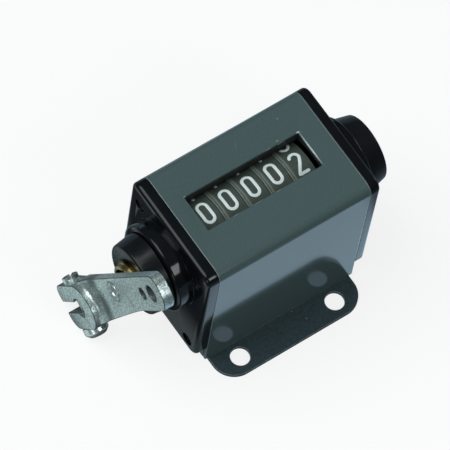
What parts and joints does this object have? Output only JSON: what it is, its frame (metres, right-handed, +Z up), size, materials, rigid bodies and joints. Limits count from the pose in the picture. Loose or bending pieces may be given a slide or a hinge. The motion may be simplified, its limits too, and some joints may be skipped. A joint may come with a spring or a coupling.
{
  "type": "stroke counter",
  "caption": "Mechanical stroke counter: digit wheels under a windowed sheet cover on a punched foot, a clamp lever on one end and a reset knob on the other.",
  "frame": {"origin": "centre of the foot's four-hole pattern, on the underside of the foot", "axes": "+X along the wheel shaft towards the reset knob, +Y to the rear, +Z up"},
  "size_m": [0.0827, 0.0528, 0.0646],
  "materials": {
    "paint": "glossy dark grey enamel",
    "black_steel": "black lacquered sheet",
    "black_plastic": "polished black phenolic",
    "black_matt": "matt black",
    "steel": "bright drawn steel",
    "dark_screw": "blackened",
    "brass": "turned",
    "wheel_plastic": "dark olive grey with pale figures",
    "natural_plastic": "natural nylon",
    "die_cast": "die-cast zinc, grainy"
  },
  "bodies": {
    "housing": {"cover": "paint", "window_frame": "black_matt", "foot_plate": "black_steel", "foot_rivets": "steel", "left_frame_plate": "steel", "right_frame_plate": "steel", "stay_rods": "steel", "carrier_rod": "steel", "left_end_cap": "black_plastic", "right_end_cap": "black_plastic", "cap_screws": "dark_screw", "drive_bearing": "brass", "reset_bearing": "brass", "carrier_plate_1": "steel", "carrier_plate_2": "steel", "carrier_plate_3": "steel", "carrier_plate_4": "steel", "holding_pawl_pin": "steel", "holding_pawl_spring": "steel", "return_spring": "steel"},
    "drive": {"drive_shaft": "steel", "drive_boss": "black_plastic", "boss_bush": "brass", "drive_yoke": "steel", "drive_pawl_pin": "steel", "drive_pawl_spring": "steel", "lever": "die_cast", "lever_rivet": "steel", "clamp_screw": "steel", "clamp_nut": "die_cast"},
    "drive_pawl": {"drive_pawl": "steel"},
    "holding_pawl": {"holding_pawl": "steel"},
    "reset": {"wheel_shaft": "steel", "reset_knob": "black_plastic", "knob_screw": "steel"},
    "units": {"units_wheel": "wheel_plastic", "ratchet_wheel": "steel"},
    "tens": {"tens_wheel": "wheel_plastic"},
    "hundreds": {"hundreds_wheel": "wheel_plastic"},
    "thousands": {"thousands_wheel": "wheel_plastic"},
    "ten_thousands": {"ten_thousands_wheel": "wheel_plastic"},
    "pinion_1": {"carry_pinion_1": "natural_plastic"},
    "pinion_2": {"carry_pinion_2": "natural_plastic"},
    "pinion_3": {"carry_pinion_3": "natural_plastic"},
    "pinion_4": {"carry_pinion_4": "natural_plastic"}
  },
  "joints": [
    {"name": "lever_swing", "type": "hinge", "parent": "housing", "child": "drive", "pos_m": [-0.04055, -0.00035, 0.0339], "axis": [1, 0, 0], "range_deg": [0, 45], "stiffness_Nm_per_rad": 0.03, "springref_deg": -40.11, "deforming": ["return_spring"]},
    {"name": "drive_pawl_lift", "type": "hinge", "parent": "drive", "child": "drive_pawl", "pos_m": [0.01702, -0.00143, 0.02155], "axis": [1, 0, 0], "range_deg": [-12, 0], "stiffness_Nm_per_rad": 0.0004, "springref_deg": 34.38, "deforming": ["drive_pawl_spring"]},
    {"name": "holding_pawl_lift", "type": "hinge", "parent": "housing", "child": "holding_pawl", "pos_m": [0.01702, -0.01294, 0.03434], "axis": [1, 0, 0], "range_deg": [-12, 0], "stiffness_Nm_per_rad": 0.0004, "springref_deg": 34.38, "deforming": ["holding_pawl_spring"]},
    {"name": "reset_turn", "type": "hinge", "parent": "housing", "child": "reset", "pos_m": [0.02365, -0.00035, 0.0339], "axis": [1, 0, 0], "continuous": true},
    {"name": "units_turn", "type": "hinge", "parent": "housing", "child": "units", "pos_m": [0.0128, -0.00035, 0.0339], "axis": [1, 0, 0], "continuous": true},
    {"name": "tens_turn", "type": "hinge", "parent": "housing", "child": "tens", "pos_m": [0.00575, -0.00035, 0.0339], "axis": [1, 0, 0], "continuous": true},
    {"name": "hundreds_turn", "type": "hinge", "parent": "housing", "child": "hundreds", "pos_m": [-0.0013, -0.00035, 0.0339], "axis": [1, 0, 0], "continuous": true},
    {"name": "thousands_turn", "type": "hinge", "parent": "housing", "child": "thousands", "pos_m": [-0.00835, -0.00035, 0.0339], "axis": [1, 0, 0], "continuous": true},
    {"name": "ten_thousands_turn", "type": "hinge", "parent": "housing", "child": "ten_thousands", "pos_m": [-0.0154, -0.00035, 0.0339], "axis": [1, 0, 0], "continuous": true},
    {"name": "pinion_1_turn", "type": "hinge", "parent": "housing", "child": "pinion_1", "pos_m": [0.00928, 0.00557, 0.03605], "axis": [1, 0, 0], "continuous": true},
    {"name": "pinion_2_turn", "type": "hinge", "parent": "housing", "child": "pinion_2", "pos_m": [0.00222, 0.00557, 0.03605], "axis": [1, 0, 0], "continuous": true},
    {"name": "pinion_3_turn", "type": "hinge", "parent": "housing", "child": "pinion_3", "pos_m": [-0.00483, 0.00557, 0.03605], "axis": [1, 0, 0], "continuous": true},
    {"name": "pinion_4_turn", "type": "hinge", "parent": "housing", "child": "pinion_4", "pos_m": [-0.01188, 0.00557, 0.03605], "axis": [1, 0, 0], "continuous": true}
  ],
  "couplings": [
    {"joint": "pinion_1_turn", "follows": "tens_turn", "ratio": 3.3333},
    {"joint": "pinion_2_turn", "follows": "hundreds_turn", "ratio": 3.3333},
    {"joint": "pinion_3_turn", "follows": "thousands_turn", "ratio": 3.3333},
    {"joint": "pinion_4_turn", "follows": "ten_thousands_turn", "ratio": 3.3333}
  ]
}
